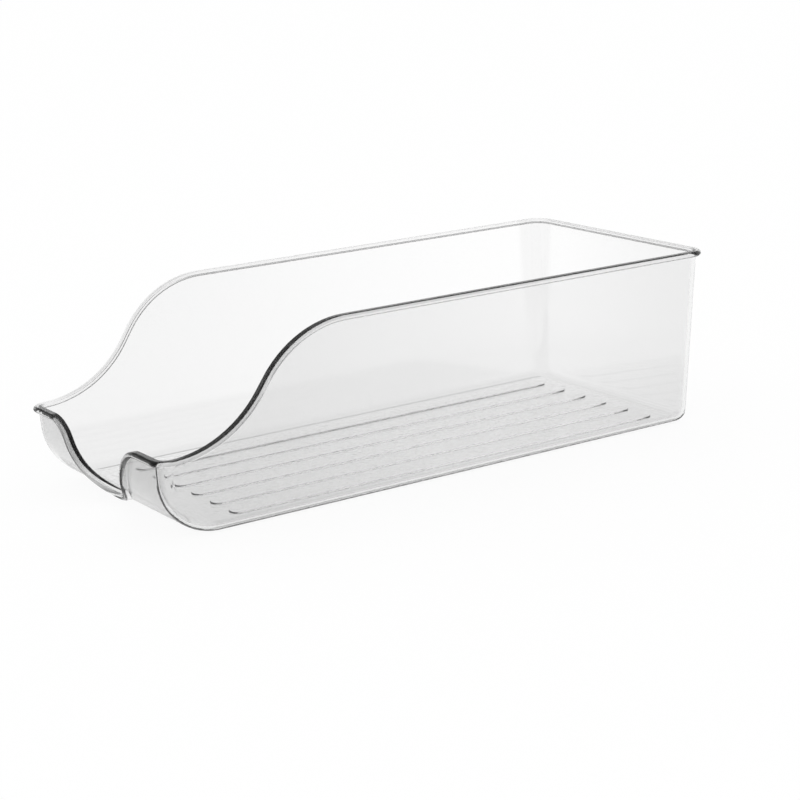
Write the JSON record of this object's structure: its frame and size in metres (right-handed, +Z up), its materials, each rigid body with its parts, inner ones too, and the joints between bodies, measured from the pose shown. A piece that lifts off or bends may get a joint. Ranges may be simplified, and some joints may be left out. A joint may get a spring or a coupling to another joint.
{
  "type": "can organizer",
  "caption": "Clear moulded bin for drink cans: high rear and sides that swoop down to a low front with a finger notch, outward rim lip, raised floor runners.",
  "frame": {"origin": "centre of the bin's footprint over the rim lip, on the surface it stands on", "axes": "+Z up, +Y towards the full height end, -Y towards the low end with the finger notch, +X to the right seen from the low end"},
  "size_m": [0.1448, 0.3348, 0.095],
  "materials": {
    "clear_plastic": "clear, colourless, glossy moulded plastic"
  },
  "bodies": {
    "root": {"bin": "clear_plastic"}
  },
  "joints": []
}
